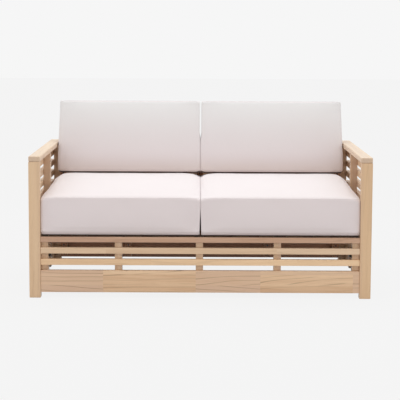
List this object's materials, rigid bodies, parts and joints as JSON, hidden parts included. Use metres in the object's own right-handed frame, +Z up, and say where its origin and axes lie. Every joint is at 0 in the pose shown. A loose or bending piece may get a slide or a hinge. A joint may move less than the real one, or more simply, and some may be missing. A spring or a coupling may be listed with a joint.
{
  "type": "patio loveseat",
  "caption": "Low slatted wooden outdoor loveseat with square arms, horizontal slats on uprights, loose box seat cushions and leaning back cushions.",
  "frame": {"origin": "on the floor, under the middle of the outer box", "axes": "+X to the right as seen from the front, +Y to the rear, +Z up; the front faces -Y"},
  "size_m": [1.4, 0.72, 0.7715],
  "materials": {
    "frame_wood": "oiled, pale and fine grained",
    "cap_wood": "oiled and sanded smooth",
    "deck_wood": "sawn and left plain",
    "cushion_cover": "matte off-white weave",
    "zinc_steel": "zinc plated",
    "dowel_wood": "smooth beech"
  },
  "bodies": {
    "frame": {"back_apron": "frame_wood", "back_cap": "cap_wood", "back_slats": "frame_wood", "back_stiles": "frame_wood", "bolt_washers": "zinc_steel", "cap_dowels": "dowel_wood", "centre_bearer": "deck_wood", "frame_bolts": "zinc_steel", "front_apron": "frame_wood", "front_ledger": "deck_wood", "front_rail": "frame_wood", "front_slat_1": "frame_wood", "front_slat_2": "frame_wood", "front_stile_1": "frame_wood", "front_stile_2": "frame_wood", "front_stile_3": "frame_wood", "front_stile_4": "frame_wood", "front_stile_5": "frame_wood", "insert_nuts": "zinc_steel", "left_arm_cap": "cap_wood", "left_corner_block": "deck_wood", "left_front_leg": "frame_wood", "left_mid_stile": "frame_wood", "left_rear_post": "frame_wood", "left_side_apron": "frame_wood", "left_side_slat_1": "frame_wood", "left_side_slat_2": "frame_wood", "left_side_slat_3": "frame_wood", "left_side_slat_4": "frame_wood", "left_side_slat_5": "frame_wood", "left_side_slat_6": "frame_wood", "left_side_slat_7": "frame_wood", "left_side_slat_8": "frame_wood", "left_side_slat_9": "frame_wood", "rear_ledger": "deck_wood", "right_arm_cap": "cap_wood", "right_corner_block": "deck_wood", "right_front_leg": "frame_wood", "right_mid_stile": "frame_wood", "right_rear_post": "frame_wood", "right_side_apron": "frame_wood", "right_side_slat_1": "frame_wood", "right_side_slat_2": "frame_wood", "right_side_slat_3": "frame_wood", "right_side_slat_4": "frame_wood", "right_side_slat_5": "frame_wood", "right_side_slat_6": "frame_wood", "right_side_slat_7": "frame_wood", "right_side_slat_8": "frame_wood", "right_side_slat_9": "frame_wood", "seat_slat_screws": "zinc_steel", "seat_slats": "deck_wood", "stile_screws": "zinc_steel"},
    "left_seat": {"left_seat_cushion": "cushion_cover"},
    "right_seat": {"right_seat_cushion": "cushion_cover"},
    "left_back": {"left_back_cushion": "cushion_cover"},
    "right_back": {"right_back_cushion": "cushion_cover"}
  },
  "joints": [
    {"name": "left_seat_lift", "type": "slide", "parent": "frame", "child": "left_seat", "axis": [0, 0, 1], "range_m": [0, 0.35]},
    {"name": "right_seat_lift", "type": "slide", "parent": "frame", "child": "right_seat", "axis": [0, 0, 1], "range_m": [0, 0.35]},
    {"name": "left_back_lift", "type": "slide", "parent": "left_seat", "child": "left_back", "axis": [0, 0, 1], "range_m": [0, 0.2]},
    {"name": "right_back_lift", "type": "slide", "parent": "right_seat", "child": "right_back", "axis": [0, 0, 1], "range_m": [0, 0.2]}
  ]
}
